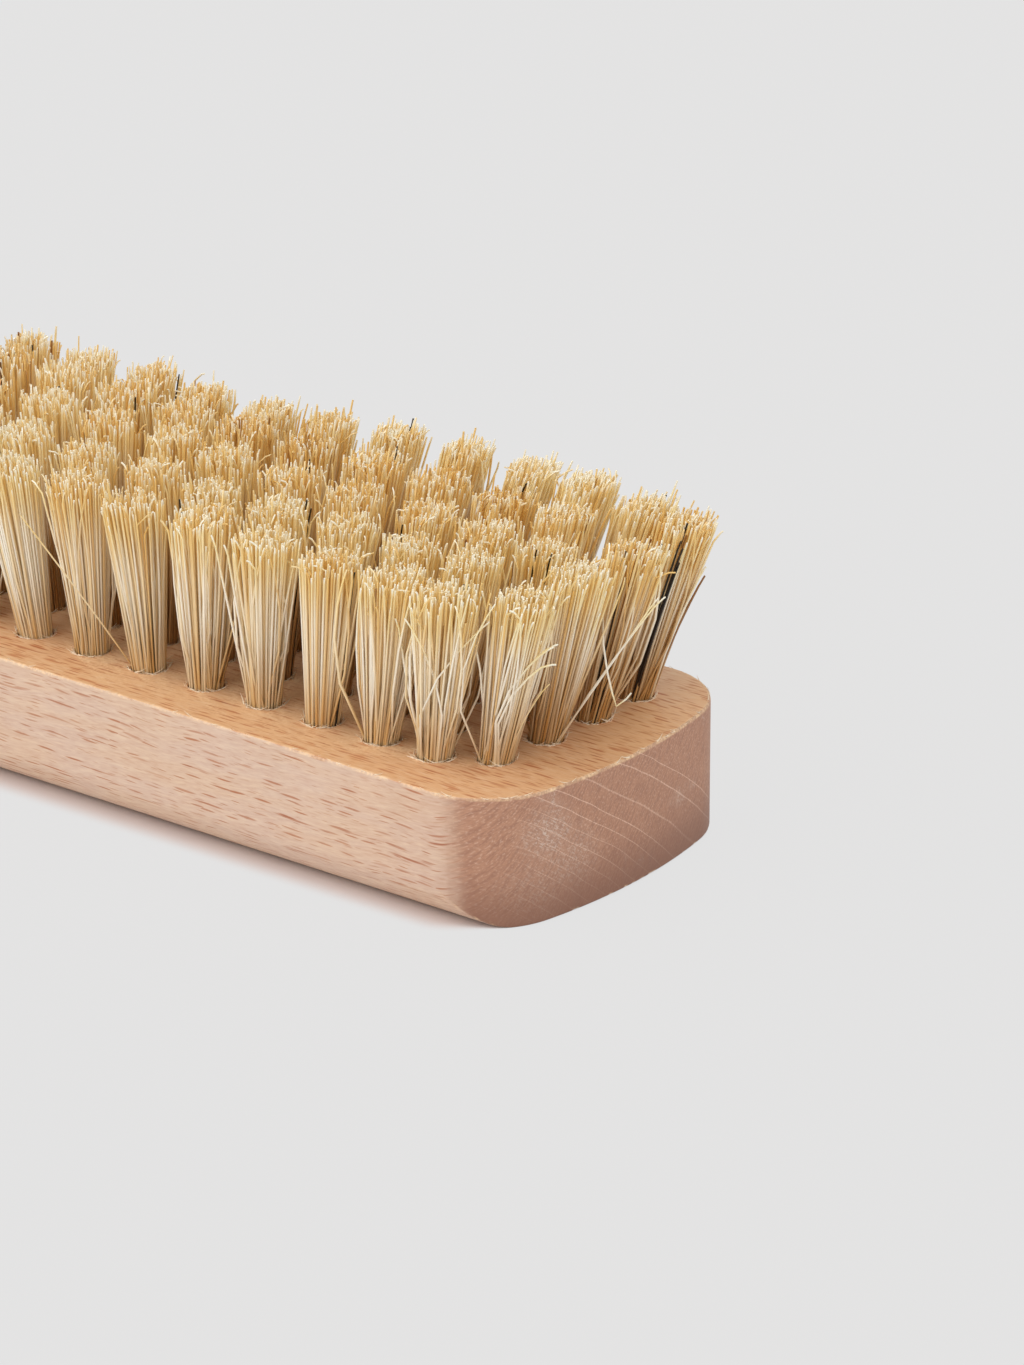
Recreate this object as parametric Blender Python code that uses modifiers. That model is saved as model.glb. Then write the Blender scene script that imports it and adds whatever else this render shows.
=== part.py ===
"""Shoe shine brush: a beech block, drilled on a fan of angles and set with bristle tufts.

The block lies on its flat back with the bristles up. Its long back edges are rounded along the
strip before its ends are sawn to a bowed outline, so the ends meet the back at a crisp edge.
Each tuft is a bunch of bristles folded over a short flat wire, the anchor, which is driven to the
bottom of a blind hole and bites the wood on both sides.
Two of the five rows stand on inlaid slices of the block, four tufts to a slice.

Metres. Origin at the middle of the back, +X along the block, +Z from the back to the tips.
"""

import math
import random

import bmesh
import bpy
from mathutils import Matrix, Vector

# The block
BLOCK_LENGTH = 0.150
BLOCK_WIDTH = 0.050
BLOCK_THICKNESS = 0.0174
END_BOW = 0.0040  # how far the middle of an end stands out past the line of its corners
CORNER_RADIUS = 0.0116
BACK_EDGE_RADIUS = 0.0052  # rounding along the two long edges of the back
FACE_ARRIS = 0.0003  # sanded edge round the drilled face

# The drilled holes
HOLE_DIAMETER = 0.0046
HOLE_DEPTH = 0.0110  # to the drill's shoulder, along the hole
DRILL_POINT_DEPTH = 0.0009
FIT_GAP = 0.0003  # left between any two pieces

# The pattern of tufts
ROW_COUNT = 5
TUFTS_PER_ROW = 13  # in the first, third and fifth rows; the rows between have one fewer
ROW_SIDE_INSET = 0.0093
ROW_END_INSET = 0.0192
ROW_END_GAP = 0.0084  # between the last two tufts of a row
COLUMN_TUFTS = 4
COLUMN_PITCH = 0.0090
COLUMN_END_INSET = 0.0115
COLUMN_SHIFT = 0.0015  # how far a column's middle stands off the middle of the block's width
COLUMN_SKEW = 0.0006  # how far its last tuft stands out past its middle, and its first one back
COLUMN_BOW = 0.0005  # how far both outer tufts stand back from its middle

# The fan: the outermost tufts lean outward by these, the middle ones stand upright
END_LEAN = math.radians(13.5)
SIDE_LEAN = math.radians(6.0)

# The bristles, gathered into strands
BRISTLE_LENGTH = 0.0245  # from the drilled face to the mean tip
TIP_UNEVENNESS = 0.0008
STRANDS_PER_TUFT = 7
TUFT_TIP_RADIUS = 0.0037
STRAND_FOOT_RADIUS = 0.00040
STRAND_TIP_RADIUS = 0.00062
STRAND_ROOT_DEPTH = 0.0012  # how deep a strand runs into what it is fused to
ROOT_RISE = 0.0004  # how far the packed root stands out of its hole
FOLD_CHAMFER = 0.0007  # the rounding of the fold at the foot of the root

# The anchor wire
ANCHOR_THICKNESS = 0.0005
ANCHOR_HEIGHT = 0.0018
ANCHOR_BITE = 0.0003  # how far each end reaches into the hole's wall

# The inlaid slices
TUFTS_PER_SLICE = 4
SLICE_THICKNESS = 0.0040
SLICE_LAND = 0.0007  # wood left on the slice beside a hole's width

# Facets and the seed of the uneven tips
CORNER_STEPS = 8
END_STEPS = 12
EDGE_STEPS = 6
HOLE_SIDES = 8
SLICE_END_STEPS = 6
GOLDEN_ANGLE = math.pi * (3 - math.sqrt(5))
TIP_SEED = 11
MERGE_DISTANCE = 1e-6

hole_radius = HOLE_DIAMETER / 2
root_radius = hole_radius - FIT_GAP
foot_spread = root_radius - STRAND_FOOT_RADIUS - ANCHOR_BITE / 2
slice_half_width = hole_radius + SLICE_LAND
half_length = BLOCK_LENGTH / 2
half_width = BLOCK_WIDTH / 2


def clear_scene():
    for obj in list(bpy.data.objects):
        bpy.data.objects.remove(obj, do_unlink=True)


def new_collection(name):
    collection = bpy.data.collections.new(name)
    bpy.context.scene.collection.children.link(collection)
    return collection


def new_material(name, colour, roughness):
    material = bpy.data.materials.new(name)
    material.use_nodes = True
    shader = material.node_tree.nodes["Principled BSDF"]
    shader.inputs["Base Color"].default_value = (*colour, 1.0)
    shader.inputs["Roughness"].default_value = roughness
    shader.inputs["Metallic"].default_value = 0.0
    material.diffuse_color = (*colour, 1.0)
    return material


def place(mesh, name, collection, material):
    """An object of this mesh, in this collection and of this one material."""
    obj = bpy.data.objects.new(name, mesh)
    collection.objects.link(obj)
    mesh.materials.clear()
    mesh.materials.append(material)
    return obj


def as_helper(obj):
    obj.hide_render = True
    obj.display_type = "WIRE"
    return obj


def solid_mesh(obj):
    """The object's evaluated shape as a closed mesh of its own; the object itself is removed."""
    graph = bpy.context.evaluated_depsgraph_get()
    mesh = bpy.data.meshes.new_from_object(obj.evaluated_get(graph))
    mesh.transform(obj.matrix_world)
    bpy.data.objects.remove(obj, do_unlink=True)
    shape = bmesh.new()
    shape.from_mesh(mesh)
    bmesh.ops.remove_doubles(shape, verts=shape.verts, dist=MERGE_DISTANCE)
    bmesh.ops.recalc_face_normals(shape, faces=shape.faces)
    shape.to_mesh(mesh)
    shape.free()
    return mesh


def plate(outline, low, high):
    """A flat closed outline in X and Y, made solid between two heights."""
    curve = bpy.data.curves.new("outline", "CURVE")
    curve.dimensions = "2D"
    curve.fill_mode = "BOTH"
    curve.extrude = (high - low) / 2
    spline = curve.splines.new("POLY")
    spline.points.add(len(outline) - 1)
    for point, (x, y) in zip(spline.points, outline):
        point.co = (x, y, 0, 1)
    spline.use_cyclic_u = True
    obj = bpy.data.objects.new("outline", curve)
    bpy.context.scene.collection.objects.link(obj)
    obj.location.z = (high + low) / 2
    bpy.context.view_layer.update()
    return solid_mesh(obj)


def turned(profile, sides):
    """A profile of (radius, height) points, from the top down, turned about Z."""
    mesh = bpy.data.meshes.new("profile")
    points = [(radius, 0, height) for radius, height in profile]
    edges = [(i, i + 1) for i in range(len(points) - 1)]
    mesh.from_pydata(points, edges, [])
    obj = bpy.data.objects.new("profile", mesh)
    bpy.context.scene.collection.objects.link(obj)
    screw = obj.modifiers.new("turn", "SCREW")
    screw.steps = sides
    screw.render_steps = sides
    screw.use_merge_vertices = True
    screw.merge_threshold = MERGE_DISTANCE
    bpy.context.view_layer.update()
    return solid_mesh(obj)


def box(size, centre):
    bpy.ops.mesh.primitive_cube_add(size=1, location=centre)
    obj = bpy.context.object
    obj.scale = size
    bpy.context.view_layer.update()
    return solid_mesh(obj)


def boolean(obj, operation, other, name):
    modifier = obj.modifiers.new(name, "BOOLEAN")
    modifier.operation = operation
    modifier.solver = "EXACT"
    modifier.object = other
    return modifier


def united(first, second):
    """Two closed meshes made one solid."""
    body = bpy.data.objects.new("body", first)
    tool = bpy.data.objects.new("tool", second)
    for obj in (body, tool):
        bpy.context.scene.collection.objects.link(obj)
    boolean(body, "UNION", tool, "join")
    bpy.context.view_layer.update()
    mesh = solid_mesh(body)
    bpy.data.objects.remove(tool, do_unlink=True)
    return mesh


def gathered(meshes):
    """Several meshes in one, side by side."""
    shape = bmesh.new()
    for mesh in meshes:
        shape.from_mesh(mesh)
    result = bpy.data.meshes.new("gathered")
    shape.to_mesh(result)
    shape.free()
    return result


def moved(mesh, matrix):
    copy = mesh.copy()
    copy.transform(matrix)
    return copy


def arc(centre, radius, start, end, steps):
    """Points on a circle from one angle to another, both ends included."""
    points = []
    for i in range(steps + 1):
        angle = start + (end - start) * i / steps
        points.append((centre[0] + radius * math.cos(angle), centre[1] + radius * math.sin(angle)))
    return points


def block_outline():
    """The plan of the block: straight sides, bowed ends and round corners tangent to both."""
    bow_radius = (half_width**2 + END_BOW**2) / (2 * END_BOW)
    bow_centre = half_length - bow_radius
    corner_y = half_width - CORNER_RADIUS
    corner_x = bow_centre + math.sqrt((bow_radius - CORNER_RADIUS) ** 2 - corner_y**2)
    join = math.atan2(corner_y, corner_x - bow_centre)
    corner = arc((corner_x, corner_y), CORNER_RADIUS, join, math.pi / 2, CORNER_STEPS)
    bow = arc((bow_centre, 0), bow_radius, -join, join, END_STEPS)
    lower = [(x, -y) for x, y in reversed(corner)]
    right = lower[:-1] + bow + corner[1:]
    left = [(-x, -y) for x, y in right]
    return right + left


def block_section():
    """The section of the strip across the block: square at the face, rounded at the back."""
    radius = BACK_EDGE_RADIUS
    middle = half_width - radius
    right = arc((middle, radius), radius, -math.pi / 2, 0, EDGE_STEPS)
    left = [(-y, z) for y, z in reversed(right)]
    top = BLOCK_THICKNESS * 2
    return right + [(half_width, top), (-half_width, top)] + left


def rounded_strip():
    """The strip that the block is sawn from, longer than the block and taller than its face."""
    mesh = plate(block_section(), -BLOCK_LENGTH, BLOCK_LENGTH)
    section_to_length = Matrix(((0, 0, 1, 0), (1, 0, 0, 0), (0, 1, 0, 0), (0, 0, 0, 1)))
    mesh.transform(section_to_length)
    return mesh


def sawn_blank():
    """The block's outline at full thickness, with its face's arris taken off."""
    mesh = plate(block_outline(), 0, BLOCK_THICKNESS)
    shape = bmesh.new()
    shape.from_mesh(mesh)
    top = [edge for edge in shape.edges if all(on_face(vert) for vert in edge.verts)]
    rim = [edge for edge in top if any(abs(face.normal.z) < 0.5 for face in edge.link_faces)]
    bmesh.ops.bevel(shape, geom=rim, offset=FACE_ARRIS, segments=1, affect="EDGES")
    shape.to_mesh(mesh)
    shape.free()
    return mesh


def on_face(vert):
    return abs(vert.co.z - BLOCK_THICKNESS) < MERGE_DISTANCE


def row_height(row):
    """The Y of a row, counted from the front."""
    span = BLOCK_WIDTH - 2 * ROW_SIDE_INSET
    return -span / 2 + span * row / (ROW_COUNT - 1)


def full_row():
    """The X of each tuft in a full row: an even pitch, with its own gap at each end."""
    last = half_length - ROW_END_INSET
    inner = last - ROW_END_GAP
    count = TUFTS_PER_ROW - 2
    middle = [-inner + 2 * inner * i / (count - 1) for i in range(count)]
    return [-last] + middle + [last]


def row_places(row):
    """The tufts of a row; every second row stands midway between its neighbours' tufts."""
    places = full_row()
    if row % 2:
        places = [(a + b) / 2 for a, b in zip(places, places[1:])]
    return [Vector((x, row_height(row), BLOCK_THICKNESS)) for x in places]


def column_places(side):
    """The column of tufts across one end, +1 for the right and -1 for the left, front to back."""
    reach = COLUMN_PITCH * (COLUMN_TUFTS - 1) / 2
    places = []
    for i in range(COLUMN_TUFTS):
        share = 2 * i / (COLUMN_TUFTS - 1) - 1
        x = half_length - COLUMN_END_INSET + COLUMN_SKEW * share - COLUMN_BOW * share**2
        y = COLUMN_SHIFT + reach * share
        places.append(Vector((side * x, y, BLOCK_THICKNESS)))
    return places


def tilt(place):
    """Stands a tuft or a hole that is modelled upright on its place, leaning with the fan."""
    along = place.x / (half_length - COLUMN_END_INSET)
    across = place.y / row_height(ROW_COUNT - 1)
    axis = Vector((math.tan(END_LEAN) * along, math.tan(SIDE_LEAN) * across, 1))
    turn = Vector((0, 0, 1)).rotation_difference(axis).to_matrix().to_4x4()
    return Matrix.Translation(place) @ turn


def hole_cutter():
    """One drilled hole with its pointed floor, and the slot that the anchor cuts in its wall."""
    above = HOLE_DIAMETER / 2
    profile = [
        (0, above),
        (hole_radius, above),
        (hole_radius, -HOLE_DEPTH),
        (0, -HOLE_DEPTH - DRILL_POINT_DEPTH),
    ]
    slot_length = HOLE_DIAMETER + 2 * (ANCHOR_BITE + FIT_GAP)
    slot_width = ANCHOR_THICKNESS + 2 * FIT_GAP
    slot_height = ANCHOR_HEIGHT + 2 * FIT_GAP
    size = (slot_length, slot_width, slot_height)
    slot = box(size, (0, 0, anchor_height()))
    return united(turned(profile, HOLE_SIDES), slot)


def anchor_height():
    """The middle of the anchor, which stands on the fold near the hole's floor."""
    return -HOLE_DEPTH + FIT_GAP + FOLD_CHAMFER + ANCHOR_HEIGHT / 2


def packed_root():
    """The folded bunch that fills a hole, with the anchor through its fold."""
    floor = -HOLE_DEPTH + FIT_GAP
    profile = [
        (0, ROOT_RISE),
        (root_radius, ROOT_RISE),
        (root_radius, floor + FOLD_CHAMFER),
        (root_radius - FOLD_CHAMFER, floor),
        (0, floor),
    ]
    size = (HOLE_DIAMETER + 2 * ANCHOR_BITE, ANCHOR_THICKNESS, ANCHOR_HEIGHT)
    anchor = box(size, (0, 0, anchor_height()))
    return united(turned(profile, HOLE_SIDES), anchor)


def strand_bunch(places, foot, chance):
    """The strands of some tufts: straight, spread over a disc that widens to the tips."""
    curve = bpy.data.curves.new("strands", "CURVE")
    curve.dimensions = "3D"
    curve.bevel_depth = 1.0
    curve.bevel_resolution = 0
    curve.use_fill_caps = True
    for place in places:
        stand = tilt(place)
        lean = stand.to_3x3()
        axis = lean @ Vector((0, 0, 1))
        turn = chance.uniform(0, 2 * math.pi)
        for i in range(STRANDS_PER_TUFT):
            share = math.sqrt((i + 0.5) / STRANDS_PER_TUFT)
            angle = turn + i * GOLDEN_ANGLE
            out = Vector((share * math.cos(angle), share * math.sin(angle), 0))
            spread = lean @ (out * TUFT_TIP_RADIUS)
            trim = BRISTLE_LENGTH + chance.uniform(-TIP_UNEVENNESS, TIP_UNEVENNESS)
            low = stand @ (out * foot_spread + Vector((0, 0, foot)))
            high = place + spread + axis * ((trim - spread.z) / axis.z)
            spline = curve.splines.new("POLY")
            spline.points.add(1)
            spline.points[0].co = (*low, 1)
            spline.points[1].co = (*high, 1)
            spline.points[0].radius = STRAND_FOOT_RADIUS
            spline.points[1].radius = STRAND_TIP_RADIUS
    obj = bpy.data.objects.new("strands", curve)
    bpy.context.scene.collection.objects.link(obj)
    bpy.context.view_layer.update()
    return solid_mesh(obj)


def slice_groups(row):
    """The tufts of a row in groups, each of which stands on one slice."""
    places = row_places(row)
    return [places[i : i + TUFTS_PER_SLICE] for i in range(0, len(places), TUFTS_PER_SLICE)]


def slice_plate(group, thickness, grow):
    """The round-ended plate under a group of tufts; the pocket is the same shape, grown."""
    radius = slice_half_width + grow
    first, last = group[0], group[-1]
    outline = arc((last.x, last.y), radius, -math.pi / 2, math.pi / 2, SLICE_END_STEPS)
    outline += arc((first.x, first.y), radius, math.pi / 2, 3 * math.pi / 2, SLICE_END_STEPS)
    return plate(outline, BLOCK_THICKNESS - thickness - grow, BLOCK_THICKNESS + grow)


def make_block(parts, helpers, beech, single_tufts, groups):
    block = place(sawn_blank(), "block", parts, beech)
    strip = as_helper(place(rounded_strip(), "rounded_strip", helpers, beech))
    hole = hole_cutter()
    holes = [moved(hole, tilt(spot)) for spot in single_tufts]
    pockets = [slice_plate(group, SLICE_THICKNESS, FIT_GAP) for group in groups]
    drill = as_helper(place(gathered(holes + pockets), "drill_and_pockets", helpers, beech))
    boolean(block, "INTERSECT", strip, "rounded back edges")
    boolean(block, "DIFFERENCE", drill, "holes and pockets")
    return block


def make_tuft(name, spot, root, parts, helpers, bristle, chance):
    tuft = place(moved(root, tilt(spot)), name, parts, bristle)
    bunch = strand_bunch([spot], ROOT_RISE - STRAND_ROOT_DEPTH, chance)
    strands = as_helper(place(bunch, name + "_strands", helpers, bristle))
    boolean(tuft, "UNION", strands, "strands")
    return tuft


def make_slice(name, group, parts, helpers, beech, bristle, chance):
    backing = place(slice_plate(group, SLICE_THICKNESS, 0), name, parts, beech)
    backing.data.materials.append(bristle)
    bunch = strand_bunch(group, -STRAND_ROOT_DEPTH, chance)
    strands = as_helper(place(bunch, name + "_strands", helpers, bristle))
    boolean(backing, "UNION", strands, "strands").material_mode = "TRANSFER"
    return backing


def main():
    clear_scene()
    parts = new_collection("shoe_shine_brush")
    helpers = new_collection("cutters_and_strands")
    beech = new_material("beech", (0.66, 0.43, 0.28), 0.55)
    bristle = new_material("bristle", (0.72, 0.55, 0.31), 0.45)
    chance = random.Random(TIP_SEED)

    tufts = {}
    slices = {}
    for row in range(ROW_COUNT):
        if row % 2:
            for i, group in enumerate(slice_groups(row)):
                slices[f"row{row + 1}_slice_{i + 1}"] = group
        else:
            for i, spot in enumerate(row_places(row)):
                tufts[f"row{row + 1}_tuft_{i + 1:02d}"] = spot
    for end, side in (("left", -1), ("right", 1)):
        for i, spot in enumerate(column_places(side)):
            tufts[f"{end}_end_tuft_{i + 1}"] = spot

    make_block(parts, helpers, beech, tufts.values(), slices.values())
    root = packed_root()
    for name, spot in tufts.items():
        make_tuft(name, spot, root, parts, helpers, bristle, chance)
    for name, group in slices.items():
        make_slice(name, group, parts, helpers, beech, bristle, chance)
    strand_count = STRANDS_PER_TUFT * (len(tufts) + sum(len(group) for group in slices.values()))
    print(f"{len(tufts)} tufts in holes, {len(slices)} slices, {strand_count} strands")


main()
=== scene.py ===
# %% [markdown]
# # A shoe shine brush
# The brush is a block of beech, drilled on a fan of angles and set with seventy-one tufts of straw-coloured
# bristle. It lies on its back on a pale table, so that the bristles stand up and only the right two thirds of
# it are in the picture.
#
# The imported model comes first. Its solids say where everything is, and its box is kept, because nothing that
# is made here may grow the brush.

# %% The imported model
import math
import random

import bmesh
import bpy
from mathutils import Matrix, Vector, noise


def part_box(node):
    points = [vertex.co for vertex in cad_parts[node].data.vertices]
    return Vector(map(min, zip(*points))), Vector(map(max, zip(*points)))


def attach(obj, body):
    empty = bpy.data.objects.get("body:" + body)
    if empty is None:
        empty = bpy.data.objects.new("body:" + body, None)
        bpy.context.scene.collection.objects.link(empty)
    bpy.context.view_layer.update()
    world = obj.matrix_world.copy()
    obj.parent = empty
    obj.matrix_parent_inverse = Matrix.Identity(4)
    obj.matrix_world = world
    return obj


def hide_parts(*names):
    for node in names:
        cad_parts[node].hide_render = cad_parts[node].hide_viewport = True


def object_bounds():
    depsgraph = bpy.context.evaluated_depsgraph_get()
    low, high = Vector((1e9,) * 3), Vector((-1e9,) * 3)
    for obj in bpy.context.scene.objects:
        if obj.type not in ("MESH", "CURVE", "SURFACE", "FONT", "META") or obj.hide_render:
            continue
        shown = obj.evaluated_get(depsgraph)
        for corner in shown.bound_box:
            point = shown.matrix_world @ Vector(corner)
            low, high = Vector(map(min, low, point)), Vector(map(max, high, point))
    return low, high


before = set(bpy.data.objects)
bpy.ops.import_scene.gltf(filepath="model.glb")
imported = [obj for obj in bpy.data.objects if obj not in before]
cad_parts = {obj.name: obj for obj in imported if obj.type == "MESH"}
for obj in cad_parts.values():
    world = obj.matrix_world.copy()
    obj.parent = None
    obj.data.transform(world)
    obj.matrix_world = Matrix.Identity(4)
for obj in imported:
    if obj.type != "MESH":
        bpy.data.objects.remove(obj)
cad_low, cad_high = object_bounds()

block_low, block_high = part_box("block")
half_length = (block_high.x - block_low.x) / 2
half_width = (block_high.y - block_low.y) / 2
thickness = block_high.z - block_low.z
print(f"block {2000 * half_length:.1f} x {2000 * half_width:.1f} x {1000 * thickness:.1f} mm")
print(f"{len(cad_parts)} nodes, bristle tips at {1000 * cad_high.z:.1f} mm")

# %% [markdown]
# ## The camera
# The photograph was taken with a long lens from about a metre away: the brush's parallel edges hardly close
# in. The angles and the lens below came from fitting the block's known corners to the picture. A camera is
# easiest to place by what it looks at, two angles and a distance.

# %% Camera
MM = 0.001
TARGET = Vector((48.894 * MM, 8.569 * MM, 17.4 * MM))
AZIMUTH = math.radians(37.935)
ELEVATION = math.radians(22.581)
DISTANCE = 1.0088
LENS = 210.99
SENSOR_WIDTH = 36



def scene_object(name, data):
    obj = bpy.data.objects.new(name, data)
    bpy.context.scene.collection.objects.link(obj)
    return obj


sideways = math.cos(ELEVATION)
back = Vector((math.sin(AZIMUTH) * sideways, -math.cos(AZIMUTH) * sideways, math.sin(ELEVATION)))
camera = scene_object("camera", bpy.data.cameras.new("camera"))
camera.data.lens, camera.data.sensor_width = LENS, SENSOR_WIDTH
camera.location = TARGET + back * DISTANCE
camera.rotation_mode = "QUATERNION"
camera.rotation_quaternion = back.to_track_quat("Z", "Y")
bpy.context.scene.camera = camera
bpy.context.scene.view_settings.view_transform = "Standard"
print("camera at", [round(v, 3) for v in camera.location])

# %% [markdown]
# ## Building node trees in a script
# Materials and Geometry Nodes are both graphs: nodes, and wires between their sockets. In the editor each
# wire is dragged by hand. In a script a small helper keeps that readable. A Wire stands for what a node puts
# out, and arithmetic on it adds a Math node or a Vector Math node, so that a graph reads like a formula.

# %% A wire
class Wire:
    """What one node puts out. Square brackets pick another of the node's outputs."""

    def __init__(self, graph, node, key=0):
        self.graph, self.node, self.key = graph, node, key

    def __getitem__(self, key):
        return Wire(self.graph, self.node, key)

    def __abs__(self):
        return self.graph.number("ABSOLUTE", self)

    @property
    def socket(self):
        return self.node.outputs[self.key]


def is_vector(value):
    return isinstance(value, tuple) or isinstance(value, Wire) and value.socket.type in ("VECTOR", "RGBA")


def calculation(operation):
    """Two numbers or two vectors go into one node. A vector times a number is scaled by it."""

    def work(first, second):
        if not is_vector(first):
            return first.graph.number(operation, first, second)
        if is_vector(second):
            return first.graph.vector(operation, first, second)
        return first.graph.node("ShaderNodeVectorMath", {0: first, "Scale": second}, operation="SCALE")

    return work


SIGNS = {
    "add": "ADD",
    "sub": "SUBTRACT",
    "mul": "MULTIPLY",
    "truediv": "DIVIDE",
    "pow": "POWER",
    "lt": "LESS_THAN",
    "gt": "GREATER_THAN",
}
for sign, operation in SIGNS.items():
    setattr(Wire, f"__{sign}__", calculation(operation))
Wire.__rsub__ = lambda wire, value: wire.graph.number("SUBTRACT", value, wire)
print("a wire knows", len(SIGNS), "signs")

# %% [markdown]
# ### A graph
# Every other kind of node gets one short method, which adds the node and gives back its wire. A value that
# goes into a socket may be a wire, a plain number, a colour or a material.

# %% A graph
class Graph:
    """A node tree that is being built. Each method adds a node and returns what it puts out."""

    def __init__(self, tree, last):
        self.tree, self.last = tree, tree.nodes.get(last) or tree.nodes.new(last)

    def feed(self, value, socket):
        """Wires a node's output into a socket, or sets the socket to a plain value."""
        if isinstance(value, Wire):
            self.tree.links.new(value.socket, socket)
        else:
            socket.default_value = value

    def node(self, kind, inputs=None, **settings):
        made = self.tree.nodes.new(kind)
        for name, value in settings.items():
            setattr(made, name, value)
        for key, value in (inputs or {}).items():
            self.feed(value, made.inputs[key])
        return Wire(self, made)

    def shape(self, kind, source, inputs=None, **settings):
        """A Geometry node. What it works on goes into its first socket."""
        return self.node("GeometryNode" + kind, {0: source, **(inputs or {})}, **settings)

    def number(self, operation, *values):
        return self.node("ShaderNodeMath", dict(enumerate(values)), operation=operation)

    def vector(self, operation, *values):
        return self.node("ShaderNodeVectorMath", dict(enumerate(values)), operation=operation)

    def length(self, vector):
        return self.vector("LENGTH", vector)["Value"]

    def larger(self, first, second):
        return self.number("MAXIMUM", first, second)

    def combine(self, x, y, z):
        return self.node("ShaderNodeCombineXYZ", {0: x, 1: y, 2: z})

    def separate(self, vector):
        parts = self.node("ShaderNodeSeparateXYZ", {0: vector})
        return [parts[axis] for axis in "XYZ"]

    def ramp(self, value, low, high):
        """0 below the one value, 1 above the other, and a soft step between them."""
        inputs = {"Value": value, "From Min": low, "From Max": high}
        return self.node("ShaderNodeMapRange", inputs, interpolation_type="SMOOTHSTEP")

    def colour(self, share, first, second, blend="MIX"):
        inputs = {0: share, 6: first, 7: second}
        return self.node("ShaderNodeMix", inputs, data_type="RGBA", blend_type=blend)[2]

    def paint(self, base, *layers):
        """Colours laid over a base one after another, each with the share that it covers."""
        for share, tint in layers:
            base = self.colour(share, base, tint)
        return base

    def stain(self, share, first, second):
        """Like watered paint over the first colour: it can only darken."""
        return self.colour(share, first, second, blend="MULTIPLY")

    def attribute(self, name):
        """A value that the mesh carries at each of its points."""
        return self.node("ShaderNodeAttribute", attribute_name=name)["Fac"]

    def finish(self, results):
        """Feeds the last node: the output of a group, or a material's shader."""
        for name, value in results.items():
            self.feed(value, self.last.inputs[name])
        return self.tree


# %% [markdown]
# ### Groups and materials
# A group is a tree of its own with named sockets, like a machine with labelled dials. The kind of a socket
# follows from its name or from its first value.

# %% Groups and materials
SOCKETS = {name: name for name in ("Geometry", "Material", "Vector")} | {"Blank": "Object", "Drill": "Object"}


def new_group(name, kind, inputs, outputs):
    """A node group with named sockets: its graph, and what goes in."""
    tree = bpy.data.node_groups.new(name, kind)
    for title, value in inputs.items():
        guess = {tuple: "Vector", int: "Int"}.get(type(value), "Float")
        socket_type = "NodeSocket" + SOCKETS.get(title, guess)
        made = tree.interface.new_socket(title, in_out="INPUT", socket_type=socket_type)
        if value is not None:
            made.default_value = value
    for title in outputs:
        socket_type = "NodeSocket" + SOCKETS.get(title, "Float")
        tree.interface.new_socket(title, in_out="OUTPUT", socket_type=socket_type)
    graph = Graph(tree, "NodeGroupOutput")
    return graph, graph.node("NodeGroupInput")


def new_material(name):
    """A material, and its graph, which ends in its Principled shader."""
    material = bpy.data.materials.new(name)
    material.use_nodes = True
    return material, Graph(material.node_tree, "Principled BSDF")


def linear(red, green, blue):
    """A colour as an eye dropper reads it, 0 to 255, turned into the light values that shaders use."""
    shares = [value / 255 for value in (red, green, blue)]
    light = [s / 12.92 if s <= 0.04045 else ((s + 0.055) / 1.055) ** 2.4 for s in shares]
    return (*light, 1.0)


print("white paper as light values:", [round(v, 3) for v in linear(228, 228, 228)])

# %% [markdown]
# ## Table and light
# The background is one even pale grey, and the only shadow is a thin warm one where the block touches the
# table. That is a studio with large soft lamps. Here a white sky gives light from everywhere, and a very wide
# sun from the front left makes the long side brighter than the end. A weaker one from the right opens up the
# shade behind the tufts. The table is a plain sheet. The camera sees its grey almost as it is, whatever the
# light does, except where something hangs close over it: an ambient occlusion node finds those places, and
# there the table's own shading shows. It is tinted a little brown, for the light that the wood throws back on
# it. Past the block's ends the picture hardly shows any, so there only the narrowest gap counts.

# %% Table and light
TABLE_GREY = linear(228, 228, 228)
TABLE_SIZE = 6.0
SKY_STRENGTH = 0.62
SUN_ANGLE = math.radians(75)
SUNS = {
    # strength, and where the light comes from
    "sun": (1.4, Vector((-0.55, -0.75, 0.85))),
    "fill": (0.5, Vector((0.9, -0.15, 0.8))),
}

table_mesh = bpy.data.meshes.new("table")
corner = TABLE_SIZE / 2
corners = [(-corner, -corner, 0), (corner, -corner, 0), (corner, corner, 0), (-corner, corner, 0)]
table_mesh.from_pydata(corners, [], [(0, 1, 2, 3)])
table = scene_object("table", table_mesh)


def seen_directly(graph):
    """1 for what the camera sees, straight on or in a reflection, and 0 for light that falls on things."""
    path = graph.node("ShaderNodeLightPath")
    direct = graph.larger(path["Is Camera Ray"], path["Is Glossy Ray"])
    return graph.larger(direct, path["Is Transmission Ray"])


TABLE_GLOW = 0.95
CONTACT_REACH = 4.5 * MM
CONTACT_TINT = linear(216, 204, 200)
OPEN_PLACE = 0.94
SHADE_DEPTH = 0.52
END_CLEARING = 0.4
AO_SAMPLES = 16
table_material, graph = new_material("table")
tint = graph.colour(seen_directly(graph), TABLE_GREY, CONTACT_TINT)
graph.finish({"Base Color": tint, "Roughness": 0.9, "Specular IOR Level": 0.0})
glow = graph.node("ShaderNodeEmission", {"Color": TABLE_GREY, "Strength": 1.0})
openness = graph.node("ShaderNodeAmbientOcclusion", {"Distance": CONTACT_REACH}, samples=AO_SAMPLES)["AO"]
spot = graph.node("ShaderNodeTexCoord")["Object"]
past_end = graph.ramp(abs(graph.separate(spot)[0]), 62 * MM, 72 * MM)
shade_end = past_end * -END_CLEARING + OPEN_PLACE
clear = graph.ramp(openness, shade_end - SHADE_DEPTH, shade_end)
share = seen_directly(graph) * TABLE_GLOW * clear
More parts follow.
